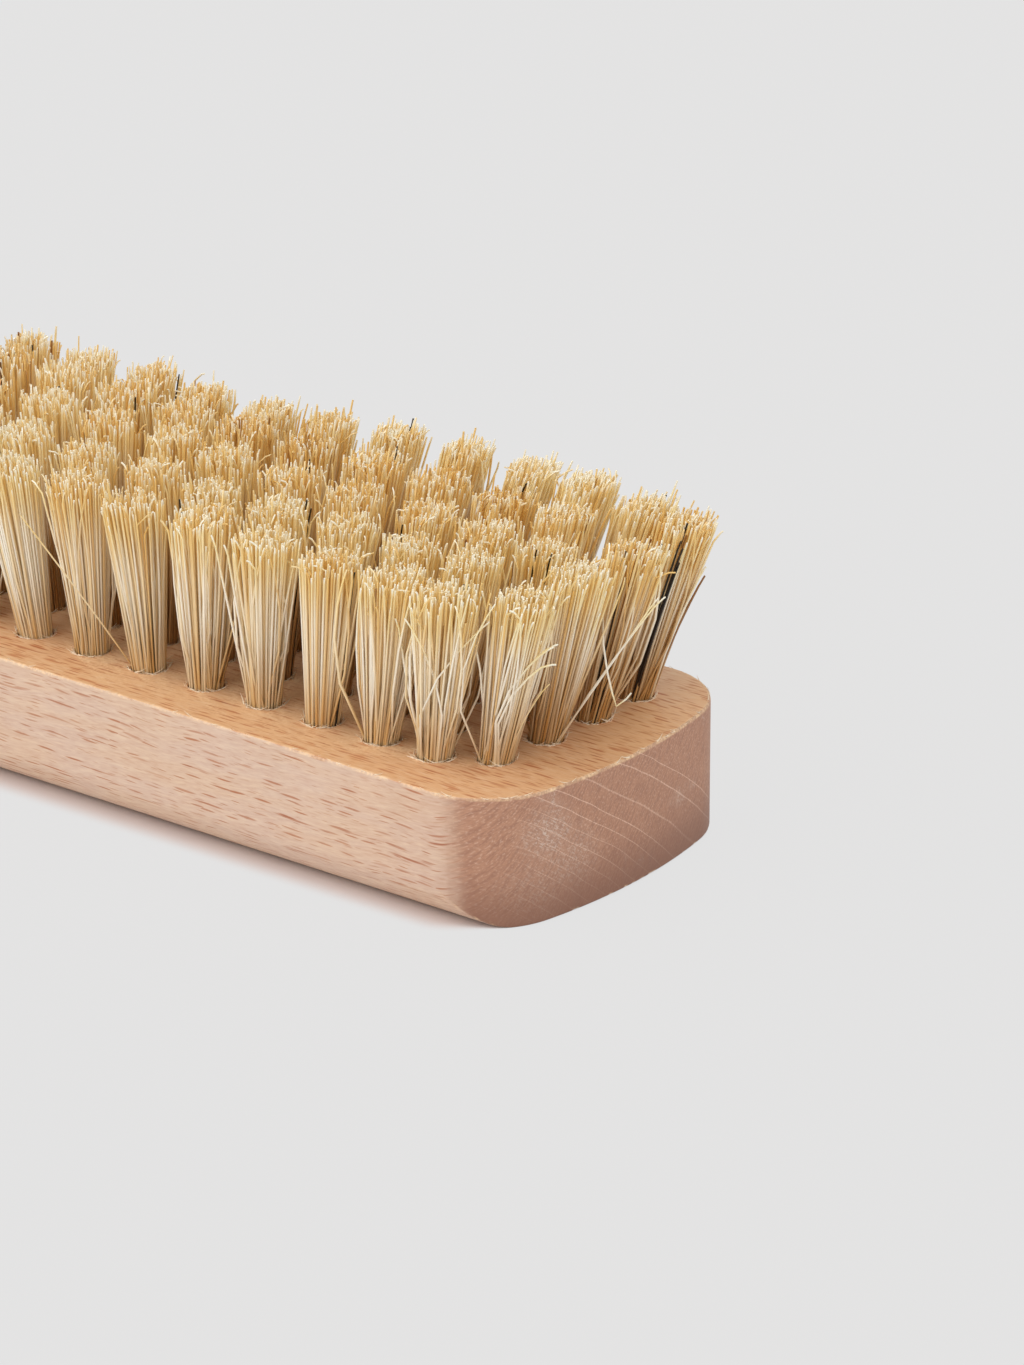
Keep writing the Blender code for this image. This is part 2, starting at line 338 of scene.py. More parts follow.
mixed = graph.node("ShaderNodeMixShader", {0: share, 1: Wire(graph, graph.last), 2: glow})
graph.feed(mixed, graph.tree.nodes["Material Output"].inputs["Surface"])
table_mesh.materials.append(table_material)

world = bpy.data.worlds.new("studio")
world.use_nodes = True
bpy.context.scene.world = world
graph = Graph(world.node_tree, "World Output")
sky = graph.node("ShaderNodeBackground", {"Color": (1, 1, 1, 1), "Strength": SKY_STRENGTH})
wall = graph.node("ShaderNodeBackground", {"Color": TABLE_GREY, "Strength": 1.0})
mixed = graph.node("ShaderNodeMixShader", {0: seen_directly(graph), 1: sky, 2: wall})
graph.finish({"Surface": mixed})

level = SKY_STRENGTH
for name, (strength, direction) in SUNS.items():
    sun = scene_object(name, bpy.data.lights.new(name, "SUN"))
    sun.data.energy = strength
    sun.data.angle = SUN_ANGLE
    sun.rotation_mode = "QUATERNION"
    sun.rotation_quaternion = direction.to_track_quat("Z", "Y")
    level += strength * direction.normalized().z / math.pi
print(f"light on a level white sheet: {level:.2f}")

# %% [markdown]
# ## Beech
# A tree's rings are tubes round its pith, the middle of the trunk. The block was cut far from it, so its end
# shows a family of wide arcs, and its sides show the same tubes as long faint streaks. Two distances describe
# the wood: how far out towards the bark a point is, and how far along its ring. The first one, divided by a
# ring's width, counts the years. A few good years on this block were wide, so the count slows down there.
# Where the count passes a whole number, a thin line marks the end of a year, and some years mark it more than
# others.

# %% Growth rings
BARK_Y, BARK_Z = 0.6, 0.8
PITH_SLOPE = 0.66


def stretched_noise(graph, vector, scale, detail):
    """Noise whose grains are as long and as thick as one over these three scales."""
    inputs = {"Vector": vector * scale, "Scale": 1.0, "Detail": detail}
    return graph.node("ShaderNodeTexNoise", inputs)


def build_rings():
    graph, given = new_group(
        "growth rings",
        "ShaderNodeTree",
        {
            "Vector": None,
            "Middle": (0.0, 4.4 * MM, 4.3 * MM),
            "Bend": 9.6,
            "Ring Width": 1.75 * MM,
            "Good Years": 2.3,
            "Unevenness": 0.45 * MM,
            "Line Width": 0.15 * MM,
        },
        ["Line", "Tone", "Outward", "Round"],
    )
    x, y, z = graph.separate(given["Vector"] + given["Middle"])
    outward = y * BARK_Y + z * (z * given["Bend"] + PITH_SLOPE)
    along = z * -BARK_Y + y * BARK_Z
    drift = stretched_noise(graph, given["Vector"], (12.0, 70.0, 70.0), 2.0)
    wander = (drift - 0.5) * given["Unevenness"]
    year = (outward + wander) / given["Ring Width"]
    good = graph.ramp(outward, 4.5 * MM, 14.5 * MM) * given["Good Years"]
    year = year - good + 0.5
    tone = graph.number("FRACT", year)
    edge = abs(tone - 0.5) * given["Ring Width"] / given["Line Width"]
    lot = graph.node("ShaderNodeTexWhiteNoise", {"W": graph.number("FLOOR", year)}, noise_dimensions="1D")
    marked = lot["Value"] * 0.4 + 0.6
    line = 1.0 - graph.ramp(edge, 0.1, 0.5)
    return graph.finish({"Line": line * marked, "Tone": tone, "Outward": outward, "Round": along})


rings = build_rings()
print("growth rings:", len(rings.nodes), "nodes")

# %% [markdown]
# ### Rays
# Beech is pale and pinkish, with short red-brown dashes: its rays. A ray is a thin ribbon that runs from the
# pith towards the bark. It is a few millimetres tall along the trunk and only a fraction of one thick, so
# every long face cuts it to a small spindle. A Voronoi pattern gives each ray a cell of its own: along the
# trunk, along the ring, and far out towards the bark. How far a point lies from its cell's middle, counted in
# the ray's own length and thickness, shapes the spindle. Several sizes of ray need the same rule, so it is a
# node group.

# %% Rays
RAY_DEPTH = 14 * MM


def build_flecks():
    graph, given = new_group(
        "rays",
        "ShaderNodeTree",
        {
            "Vector": None,
            "Length": 3.0 * MM,
            "Thickness": 0.18 * MM,
            "Spacing": 0.9 * MM,
            "Share": 0.5,
        },
        ["Mask"],
    )
    cell = graph.combine(given["Length"] * 1.15, given["Spacing"], RAY_DEPTH)
    place = given["Vector"] / cell
    cells = graph.node("ShaderNodeTexVoronoi", {"Vector": place, "Scale": 1.0, "Randomness": 0.9})
    lot = graph.separate(cells["Color"])
    away = (place - cells["Position"]) * cell
    half = lot[1] * 0.35 + 0.2
    half = graph.combine(given["Length"] * half, given["Thickness"] * half, RAY_DEPTH * 0.7)
    reach = graph.length(away / half)
    spindle = 1.0 - graph.ramp(reach, 0.55, 1.15)
    kept = lot[0] < given["Share"]
    depth = lot[2] * 0.6 + 0.4
    return graph.finish({"Mask": spindle * kept * depth})


flecks = build_flecks()
print("rays:", len(flecks.nodes), "nodes")

# %% [markdown]
# ### The beech material
# The colours come from the picture: a pinkish side, a drilled face that is more orange, and ends that are
# darker and mauve-brown, because sawn end grain drinks the light. The face's orange is partly the wood's own
# and partly painted light, the warm light that the bristles throw back on it. The shader tells the three apart
# by which way the surface faces. The grain climbs a little to the right, so the wood's own space is a sheared
# copy of the object's. The dashes, rings and fine fibre streaks are laid over the colours. A patch of painted
# light lifts the face at the right end, towards the back, out of the shade of the end tufts, and painted shade
# darkens the end towards the table. The sanded edges are paler, by masks that the block's own mesh carries.

# %% Beech
SIDE_COLOUR = linear(219, 189, 168)
WARM_COLOUR = linear(223, 189, 158)
FACE_AND_BOUNCE_COLOUR = linear(231, 184, 137)
END_COLOUR = linear(190, 140, 112)
RAY_TINT = (0.68, 0.37, 0.23, 1.0)
PALE_COLOUR = linear(243, 219, 190)
CORNER_LIGHT_COLOUR = linear(252, 205, 152)
WORN_COLOUR = linear(254, 218, 172)
FIBRE_COLOUR = linear(255, 235, 206)
GRAIN_RISE = 0.058
GRAIN_TURN = 0.06
END_GRAIN_START = 0.05
END_GRAIN_FULL = 0.46

beech, graph = new_material("beech")
place = graph.node("ShaderNodeTexCoord")
x, y, z = graph.separate(place["Object"])
wood = graph.combine(x, y - x * GRAIN_TURN, z - x * GRAIN_RISE)
sway = stretched_noise(graph, wood, (90.0, 160.0, 160.0), 1.0)["Color"]
sway = (sway - (0.5, 0.5, 0.5)) * (0.0, 0.7 * MM, 0.7 * MM)
wood = wood + sway

facing = graph.separate(place["Normal"])
end_grain = graph.ramp(abs(facing[0]), END_GRAIN_START, END_GRAIN_FULL)
top_face = graph.ramp(facing[2], 0.55, 0.95)


broad = stretched_noise(graph, wood, (60.0, 280.0, 280.0), 2.0)
fibres = stretched_noise(graph, wood, (110.0, 3200.0, 3200.0), 3.0)
# painted light: the face at the right end, towards the back, is lifted out of the shade of the end tufts
lit_corner = graph.ramp(x, 61 * MM, 72 * MM) * graph.ramp(y, -8 * MM, 10 * MM)
base = graph.paint(
    SIDE_COLOUR,
    (graph.ramp(broad, 0.35, 0.65) * 0.5, WARM_COLOUR),
    # painted light: the face's orange is partly the wood's own and partly the warm light the bristles throw
    # back
    (top_face, FACE_AND_BOUNCE_COLOUR),
    (graph.ramp(fibres, 0.5, 0.8) * 0.28, PALE_COLOUR),
    (graph.ramp(y, 8 * MM, 24 * MM) * 0.35, PALE_COLOUR),
    (lit_corner * top_face * 0.7, CORNER_LIGHT_COLOUR),
)

ring = graph.node("ShaderNodeGroup", {"Vector": wood}, node_tree=rings)
base = graph.stain(ring["Tone"] * 0.1, base, RAY_TINT)
near_end = graph.ramp(abs(x), 40 * MM, 66 * MM)
base = graph.stain(near_end * 0.1, base, RAY_TINT)
grain = stretched_noise(graph, wood, (500.0, 4200.0, 4200.0), 2.0)
base = graph.stain(graph.ramp(grain, 0.5, 0.7) * 0.17, base, RAY_TINT)
base = graph.colour(graph.ramp(grain, 0.5, 0.32) * 0.2, base, PALE_COLOUR)

ray_place = graph.combine(x, ring["Round"], ring["Outward"])
RAY_SIZES = (
    # length, thickness, spacing, share of the cells that hold one, and strength
    (3.8, 0.2, 0.62, 0.85, 1.0),
    (2.2, 0.14, 0.42, 0.6, 0.55),
    (7.0, 0.2, 1.5, 0.45, 1.0),
)
for length, thin, spacing, share, strength in RAY_SIZES:
    wider = top_face * (0.9 * thin * MM) + thin * MM
    sizes = {"Length": length * MM, "Thickness": wider, "Spacing": spacing * MM, "Share": share}
    fleck = graph.node("ShaderNodeGroup", {"Vector": ray_place, **sizes}, node_tree=flecks)
    base = graph.stain(fleck * strength, base, RAY_TINT)

# %% [markdown]
# ### The sawn end
# A sawn end shows what the sides can't: the rings as thin pale arcs, the rays as fine lines that run out from
# the pith, and open pores. Handling has rubbed a few places white, and the saw's dust sits in them.

# %% The sawn end
RUBBED = (
    # y, height, radius and strength of each rubbed place on the right end
    (-15.5, 11.5, 5.5, 1.0),
    (-12.0, 7.0, 7.0, 0.6),
    (-17.0, 4.0, 7.0, 0.5),
)

cut_rays = stretched_noise(graph, ray_place, (0.0, 3000.0, 450.0), 3.0)
scratches = stretched_noise(graph, ray_place, (0.0, 1100.0, 4600.0), 3.0)
pores = stretched_noise(graph, ray_place, (0.0, 5200.0, 2800.0), 3.0)
cloud = stretched_noise(graph, place["Object"], (160.0, 160.0, 160.0), 3.0)
grit = stretched_noise(graph, place["Object"], (2600.0, 2600.0, 2600.0), 4.0)
seen_line = ring["Line"] * graph.ramp(y, -23 * MM, -15 * MM)
seen_line = seen_line * graph.ramp(ring["Outward"], 17 * MM, 14 * MM)
seen_line = seen_line * (graph.ramp(pores, 0.35, 0.6) * 0.6 + 0.4)
end = graph.paint(
    END_COLOUR,
    (graph.ramp(cut_rays, 0.46, 0.6) * 0.75, linear(168, 120, 96)),
    (graph.ramp(pores, 0.52, 0.7) * 0.4, linear(232, 200, 180)),
    (graph.ramp(pores, 0.5, 0.3) * 0.45, linear(160, 112, 90)),
    (graph.ramp(cloud, 0.4, 0.7) * 0.25, linear(176, 128, 104)),
    (seen_line, linear(236, 198, 174)),
)
rubbed = graph.ramp(cloud, 0.62, 0.8)
for side, height, radius, strength in RUBBED:
    centre = (0.0, side * MM, height * MM)
    away = place["Object"] * (0.0, 1.0, 1.0) - centre
    away = graph.length(away) / (radius * MM)
    near = graph.ramp(away, 1.0, 0.1) * strength
    rubbed = graph.larger(rubbed, near)
scratched = graph.larger(graph.ramp(scratches, 0.52, 0.66), graph.ramp(grit, 0.56, 0.68))
dust = rubbed * (scratched * 0.6 + 0.12)
# painted shade: the sawn end darkens towards the table
low_end_shade = 1.0 - graph.ramp(z, 0.0, 9.0 * MM)
end = graph.paint(end, (dust, linear(226, 206, 190)), (low_end_shade * 0.8, linear(142, 98, 78)))

wear = graph.attribute("wear")
torn = graph.attribute("torn")
ragged = graph.ramp(grit, 0.42, 0.6) * 0.5 + (end_grain * 0.25 + 0.22)
worn = graph.larger(wear * ragged, torn * 0.8)
loose = graph.ramp(wear, 1.1, 1.5)
base = graph.paint(base, (end_grain, end), (worn, WORN_COLOUR), (loose, FIBRE_COLOUR))
relief = graph.node("ShaderNodeBump", {"Height": fibres, "Strength": 0.12, "Distance": 0.05 * MM})
graph.finish({"Base Color": base, "Roughness": 0.56, "Normal": relief})
print("beech:", len(beech.node_tree.nodes), "nodes")

# %% [markdown]
# ## The block
# The real block is cut from a long strip whose two back edges are already rounded, and then sawn to a plan
# with bowed ends and round corners. So the rounding runs straight out of the ends, and the ends meet the back
# at a crisp edge. A list of stations round the plan, each a point and the direction out of it, describes
# that: a ring of the surface is the same stations pulled in by an inset, at a height. A stack of such rings
# is the block.

# %% The block's plan
END_BOW = 4.0 * MM
CORNER_RADIUS = 11.6 * MM
STATION_STEP = 0.5 * MM


def arc_stations(centre, radius, start, end):
    """Stations along an arc, without its last one."""
    steps = max(1, round(radius * abs(end - start) / STATION_STEP))
    stations = []
    for i in range(steps):
        angle = start + (end - start) * i / steps
        out = Vector((math.cos(angle), math.sin(angle), 0))
        stations.append((Vector((*centre, 0)) + out * radius, out))
    return stations


def plan_stations():
    """Stations counter-clockwise round the plan, from the front right corner."""
    bow_radius = (half_width**2 + END_BOW**2) / (2 * END_BOW)
    bow_centre = half_length - bow_radius
    corner_y = half_width - CORNER_RADIUS
    corner_x = bow_centre + math.sqrt((bow_radius - CORNER_RADIUS) ** 2 - corner_y**2)
    join = math.atan2(corner_y, corner_x - bow_centre)
    right = arc_stations((corner_x, -corner_y), CORNER_RADIUS, -math.pi / 2, -join)
    right += arc_stations((bow_centre, 0), bow_radius, -join, join)
    right += arc_stations((corner_x, corner_y), CORNER_RADIUS, join, math.pi / 2)
    steps = round(2 * corner_x / STATION_STEP)
    side = [Vector((corner_x - 2 * corner_x * i / steps, half_width, 0)) for i in range(steps)]
    half = right + [(point, Vector((0, 1, 0))) for point in side]
    return half + [(-point, -out) for point, out in half]


stations = plan_stations()
print(len(stations), "stations round the block")

# %% [markdown]
# ### Rings from the face to the back
# The edge round the drilled face was broken with sandpaper, so it is a small uneven rounding. The lower edge
# of the ends is nearly sharp, with tiny chips. Each ring has an inset and a height, and beside every rounded
# edge stands one more ring close by, which keeps the smooth shading of the edge from creeping over the flat.

# %% The block's surface
BACK_EDGE_RADIUS = 5.2 * MM
ARRIS = 0.26 * MM
RIM = 0.12 * MM
SUPPORT = 0.2 * MM
ARRIS_STEPS = 4
BACK_STEPS = 10
CHIP_THRESHOLD = 0.2
EDGE_WEAR = 0.04 * MM
NICK_DEPTH = 0.09 * MM


def back_height(y):
    """How high the underside is at this y: flat, and rounded towards the long edges."""
    over = max(0.0, abs(y) - (half_width - BACK_EDGE_RADIUS))
    return BACK_EDGE_RADIUS - math.sqrt(max(0.0, BACK_EDGE_RADIUS**2 - over**2))


def block_rings():
    """Each ring as inset, height, what the height counts from, and how worn its edge is."""
    made = [(ARRIS + SUPPORT, thickness, "face", 0.0)]
    for i in range(ARRIS_STEPS + 1):
        angle = math.pi / 2 * i / ARRIS_STEPS
        inset = ARRIS * (1 - math.sin(angle))
        made.append((inset, thickness - ARRIS * (1 - math.cos(angle)), "face", 1.0))
    made.append((0.0, thickness - ARRIS - SUPPORT, "face", 0.0))
    made.append((0.0, RIM + SUPPORT, "back", 0.0))
    for share in (0.0, 0.3, 1.0):
        made.append((RIM * share, RIM * (1 - share) ** 2, "back", 1.0))
    made.append((RIM + SUPPORT, 0.0, "back", 0.0))
    for i in range(2, BACK_STEPS + 1):
        made.append((BACK_EDGE_RADIUS * (1 - math.cos(math.pi / 2 * i / BACK_STEPS)), 0.0, "back", 0.0))
    return made


def build_block():
    mesh = bpy.data.meshes.new("block_blank")
    shape = bmesh.new()
    worn = shape.verts.layers.float.new("wear")
    rows = []
    for inset, height, origin, edge in block_rings():
        row = []
        for point, out in stations:
            if origin == "face":
                nick = noise.noise(point * 1100) * 0.6 + noise.noise(point * 300) * 0.5
                share = edge
                rubbed = 0.6 + nick
            else:
                nick = max(0.0, noise.noise(point * 1300) - CHIP_THRESHOLD) * 4
                share = edge * min(1.0, abs(out.x) * 2)
                rubbed = nick
            spot = point - out * max(0.0, inset + share * (EDGE_WEAR + NICK_DEPTH * nick))
            base = back_height((point - out * inset).y) if origin == "back" else 0.0
            vert = shape.verts.new((spot.x, spot.y, base + height))
            vert[worn] = share * min(1.0, max(0.0, rubbed))
            row.append(vert)
        rows.append(row)
    count = len(stations)
    for upper, lower in zip(rows, rows[1:]):
        for i in range(count):
            after = (i + 1) % count
            shape.faces.new((upper[i], lower[i], lower[after], upper[after]))
    shape.faces.new(rows[0])
    shape.faces.new(list(reversed(rows[-1])))
    shape.to_mesh(mesh)
    shape.free()
    return scene_object("block_blank", mesh)


blank = build_block()
print("blank:", len(blank.data.polygons), "faces")

# %% [markdown]
# ## The fan of tufts
# The tufts stand in five rows along the block and in one short column across each end. Every second row is
# shifted by half a pitch, so that its tufts look out between those in front. The drill was tilted outwards
# towards the ends and sides, which spreads the tips over a wider field than the holes. Every tuft here is a
# point that carries its own numbers: how it leans, how wide it spreads, how tidy it is.

# %% Where the tufts stand
ROW_COUNT = 5
TUFTS_PER_ROW = 13
ROW_SIDE_INSET = 9.3 * MM
ROW_END_INSET = 19.2 * MM
ROW_END_GAP = 8.4 * MM
COLUMN_TUFTS = 4
COLUMN_PITCH = 9.0 * MM
COLUMN_END_INSET = 11.5 * MM
COLUMN_SHIFT = 1.5 * MM
COLUMN_SKEW = 0.6 * MM
COLUMN_BOW = 0.5 * MM
END_LEAN = math.radians(13.5)
SIDE_LEAN = math.radians(6.0)

row_reach = half_width - ROW_SIDE_INSET


def row_places(row):
    last = half_length - ROW_END_INSET
    inner = last - ROW_END_GAP
    count = TUFTS_PER_ROW - 2
    across = [-last] + [-inner + 2 * inner * i / (count - 1) for i in range(count)] + [last]
    if row % 2:
        across = [(a + b) / 2 for a, b in zip(across, across[1:])]
    y = -row_reach + 2 * row_reach * row / (ROW_COUNT - 1)
    return [Vector((x, y, thickness)) for x in across]


def column_places(side):
    reach = COLUMN_PITCH * (COLUMN_TUFTS - 1) / 2
    places = []
    for i in range(COLUMN_TUFTS):
        share = 2 * i / (COLUMN_TUFTS - 1) - 1
        x = half_length - COLUMN_END_INSET + COLUMN_SKEW * share - COLUMN_BOW * share**2
        places.append(Vector((side * x, COLUMN_SHIFT + reach * share, thickness)))
    return places


def lean_at(place):
    """The way a hole and its tuft point, for one unit of height."""
    along = math.tan(END_LEAN) * place.x / (half_length - COLUMN_END_INSET)
    across = math.tan(SIDE_LEAN) * place.y / row_reach
    return Vector((along, across, 1))


tuft_groups = {f"row{row + 1}": row_places(row) for row in range(ROW_COUNT)}
tuft_groups["left_end"] = column_places(-1)
tuft_groups["right_end"] = column_places(1)
every_place = [place for places in tuft_groups.values() for place in places]
print(len(every_place), "tufts")

# %% [markdown]
# ## Drilling the block
# Seventy-one equal holes are work for Geometry Nodes. One drill, as deep as the real one with its pointed
# end, is put on every point, and each copy is slanted by its point's own lean. Slanting, rather than turning,
# keeps the rim of the hole a true circle in the face, so that its small worn edge is even all round. One
# Boolean takes all of the drills out of the block.

# %% The drill
HOLE_RADIUS = 2.3 * MM
HOLE_DEPTH = 11.0 * MM
DRILL_POINT = 0.9 * MM
RIM_WEAR = 0.12 * MM
DRILL_SIDES = 32


def build_drill():
    """A closed drill, upright, with the block's face at height zero."""
    profile = [
        (HOLE_RADIUS + RIM_WEAR, HOLE_RADIUS),
        (HOLE_RADIUS + RIM_WEAR, 0.0),
        (HOLE_RADIUS, -RIM_WEAR * 1.6),
        (HOLE_RADIUS, -HOLE_DEPTH),
    ]
    shape = bmesh.new()
    torn = shape.faces.layers.float.new("torn")
    rows = []
    for radius, height in profile:
        row = []
        for i in range(DRILL_SIDES):
            angle = 2 * math.pi * i / DRILL_SIDES
            row.append(shape.verts.new((radius * math.cos(angle), radius * math.sin(angle), height)))
        rows.append(row)
    point = shape.verts.new((0, 0, -HOLE_DEPTH - DRILL_POINT))
    for i in range(DRILL_SIDES):
        after = (i + 1) % DRILL_SIDES
        for step, (upper, lower) in enumerate(zip(rows, rows[1:])):
            face = shape.faces.new((upper[i], lower[i], lower[after], upper[after]))
            face[torn] = step == 1
        shape.faces.new((rows[-1][i], point, rows[-1][after]))
    shape.faces.new(rows[0])
    mesh = bpy.data.meshes.new("drill")
    shape.to_mesh(mesh)
    shape.free()
    return scene_object("drill", mesh)


def point_mesh(name, places, attributes):
    """Loose points, each with its own named vectors and numbers."""
    mesh = bpy.data.meshes.new(name)
    mesh.from_pydata(places, [], [])
    for title, values in attributes.items():
        kind, field = ("FLOAT_VECTOR", "vector") if isinstance(values[0], Vector) else ("FLOAT", "value")
        layer = mesh.attributes.new(title, kind, "POINT")
        for item, value in zip(layer.data, values):
            setattr(item, field, value)
    return mesh


drill = build_drill()
print("drill:", len(drill.data.polygons), "faces")

# %% [markdown]
# ### The drilling tree
# The tree ends with plain faces of one material. Edges that turn by more than thirty degrees are kept sharp,
# as "Shade Smooth by Angle" does, so the face stays flat and the holes look round.

# %% Drilling
SHARP_ANGLE = math.radians(30)
VECTOR = "FLOAT_VECTOR"


def named(graph, name, kind="FLOAT"):
    """A number, or a vector, that every point carries."""
    return graph.node("GeometryNodeInputNamedAttribute", {"Name": name}, data_type=kind)["Attribute"]


def put_on(graph, points, shape, inputs=None):
    """A copy of the shape on every point, made real, with the point's own numbers on it."""
    copies = graph.shape("InstanceOnPoints", points, {"Instance": shape, **(inputs or {})})
    return graph.shape("RealizeInstances", copies)


def new_tree(name, inputs):
    """A Geometry Nodes tree with its named inputs."""
    return new_group(name, "GeometryNodeTree", {"Geometry": None, **inputs, "Material": None}, ["Geometry"])


def finish_tree(graph, given, shape):
    """Every tree ends with plain faces of one material."""
    shape = graph.shape("RealizeInstances", shape)
    return graph.finish({"Geometry": graph.shape("SetMaterial", shape, {"Material": given["Material"]})})


def build_drilling():
    inputs = {"Blank": None, "Drill": None, "Face Height": thickness, "Sharp Angle": SHARP_ANGLE}
    graph, given = new_tree("drilled block", inputs)
    blank_shape = graph.shape("ObjectInfo", given["Blank"])["Geometry"]
    drill_shape = graph.shape("ObjectInfo", given["Drill"])["Geometry"]
    drills = put_on(graph, graph.shape("MeshToPoints", given["Geometry"]), drill_shape)
    above = graph.separate(graph.node("GeometryNodeInputPosition"))[2] - given["Face Height"]
    sideways = named(graph, "lean", VECTOR) * (1.0, 1.0, 0.0)
    drills = graph.shape("SetPosition", drills, {"Offset": sideways * above})
    cut = graph.shape("MeshBoolean", blank_shape, {1: drills}, operation="DIFFERENCE", solver="EXACT")
    smooth = graph.shape("SetShadeSmooth", cut, {"Shade Smooth": True})
    sharp = graph.node("GeometryNodeInputMeshEdgeAngle")["Unsigned Angle"] > given["Sharp Angle"]
    flat = {"Selection": sharp, "Shade Smooth": False}
    return finish_tree(graph, given, graph.shape("SetShadeSmooth", smooth, flat, domain="EDGE"))


def grown(name, mesh, tree, values):
    """Runs a Geometry Nodes tree on a mesh, and keeps the result as a plain mesh with no modifier."""
    obj = scene_object(name, mesh)
    modifier = obj.modifiers.new(tree.name, "NODES")
    modifier.node_group = tree
    for socket in tree.interface.items_tree:
        if socket.in_out == "INPUT" and socket.name in values:
            modifier[socket.identifier] = values[socket.name]
    depsgraph = bpy.context.evaluated_depsgraph_get()
    plain = bpy.data.meshes.new_from_object(
        obj.evaluated_get(depsgraph), preserve_all_data_layers=True, depsgraph=depsgraph
    )
    obj.modifiers.clear()
    obj.data = plain
    plain.name = name
    return obj


hole_points = point_mesh("holes", every_place, {"lean": [lean_at(place) for place in every_place]})
block = grown(
    "beech_block",
    hole_points,
    build_drilling(),
    {"Blank": blank, "Drill": drill, "Face Height": thickness, "Sharp Angle": SHARP_ANGLE, "Material": beech},
)
for helper in (blank, drill):
    bpy.data.objects.remove(helper, do_unlink=True)
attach(block, "root")
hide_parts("block")
print("drilled block:", len(block.data.polygons), "faces")

# %% [markdown]
# ## Torn fibres
# A drill tears beech a little where it breaks through the face, so that every hole has a pale frayed ring.
# The sanded edge of the face has the same fuzz. The fibres are points again: each has a heading, mostly along
# the edge that it was torn from, and Geometry Nodes put one small tapering hair on every point.

# %% Where fibres stand out
FIBRE_SEED = 23
FIBRE_SIDES = 3
FIBRE_WEAR = 1.6
RIM_FIBRES = 70
ARRIS_FIBRES = 400
FIBRE_SINK = 0.1 * MM
fibre_chance = random.Random(FIBRE_SEED)


def rim_fibres():
    """A place and a heading for each fibre round the holes."""
    for place in every_place:
        for i in range(RIM_FIBRES):
            angle = 2 * math.pi * (i + fibre_chance.random()) / RIM_FIBRES
            out = Vector((math.cos(angle), math.sin(angle), 0))
            along = Vector((-out.y, out.x, 0)) * fibre_chance.choice((-1, 1))
            spot = place + out * (HOLE_RADIUS + fibre_chance.uniform(0.02, 0.4) * MM)
            heading = along + out * fibre_chance.uniform(-0.3, 0.6)
            yield spot, heading + Vector((0, 0, fibre_chance.uniform(0, 0.35)))


def arris_fibres():
    """The same along the edge of the face."""
    for i in range(ARRIS_FIBRES):
        point, out = fibre_chance.choice(stations)
        along = Vector((-out.y, out.x, 0)) * fibre_chance.choice((-1, 1))
        spot = point - out * ARRIS * fibre_chance.uniform(0.3, 1.2) + Vector((0, 0, thickness))
        heading = along + out * fibre_chance.uniform(-0.2, 0.3)
        heading += Vector((0, 0, fibre_chance.uniform(-0.05, 0.2)))
        yield spot - Vector((0, 0, FIBRE_SINK)), heading


fibre_places, fibre_headings = zip(*rim_fibres(), *arris_fibres())
print(len(fibre_places), "fibres")

# %% [markdown]
# ### The fibre tree
# The hair is a short curved line with three sides and a thin end. Each copy is turned so that its own X runs
# along the heading, and gets its own length.

# %% Growing the fibres
def chance(graph, low, high, seed):
    """A random number, or a random vector, for every point."""
    first, kind = (0, VECTOR) if isinstance(low, tuple) else (2, "FLOAT")
    inputs = {first: low, first + 1: high, "Seed": seed}
    return graph.node("FunctionNodeRandomValue", inputs, data_type=kind)[first // 2]


def share_of(graph, seed):
    return chance(graph, 0.0, 1.0, seed)


def flat_step(graph, reach, seed):
    """A random step along the face, up to this far each way."""
    return chance(graph, (-reach, -reach, 0.0), (reach, reach, 0.0), seed)


def store(graph, shape, values, kind="FLOAT"):
    """Writes numbers or vectors on every point, by name."""
    for name, value in values.items():
        inputs = {"Name": name, "Value": value}
        shape = graph.shape("StoreNamedAttribute", shape, inputs, data_type=kind, domain="POINT")
    return shape


def tube(graph, curve, sides, radius):
    """A tube along a curve, closed at both ends."""
    ring = graph.node("GeometryNodeCurvePrimitiveCircle", {"Resolution": sides, "Radius": 1.0})
    return graph.shape("CurveToMesh", curve, {"Profile Curve": ring, "Scale": radius, "Fill Caps": True})


def build_fibres():
    graph, given = new_tree("torn fibres", {"Length": 0.95 * MM, "Thickness": 0.14 * MM})
    ends = {
        "Start": (0.0, 0.0, 0.0),
        "Middle": graph.combine(given["Length"] * 0.5, 0.0, 0.0),
        "End": graph.combine(given["Length"], 0.0, given["Length"] * 0.25),
        "Resolution": 4,
    }
    run = graph.node("GeometryNodeSplineParameter")["Factor"]
    taper = given["Thickness"] * (run * -0.42 + 0.5)
    hair = tube(graph, graph.node("GeometryNodeCurveQuadraticBezier", ends), FIBRE_SIDES, taper)
    heading = named(graph, "heading", VECTOR)
    turned = graph.node("FunctionNodeAlignRotationToVector", {"Vector": heading}, axis="X")
    size = share_of(graph, 1) ** 3.0 * 1.5 + 0.4
    points = graph.shape("MeshToPoints", given["Geometry"])
    hairs = put_on(graph, points, hair, {"Rotation": turned, "Scale": size})
    hairs = store(graph, hairs, {"wear": FIBRE_WEAR})
    hairs = graph.shape("RemoveAttribute", hairs, {"Name": "heading"})
    return finish_tree(graph, given, hairs)


fibre_points = point_mesh("fibre_points", fibre_places, {"heading": list(fibre_headings)})
fuzz = grown("torn_fibres", fibre_points, build_fibres(), {"Material": beech})
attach(fuzz, "root")
print("torn fibres:", len(fuzz.data.polygons), "faces")
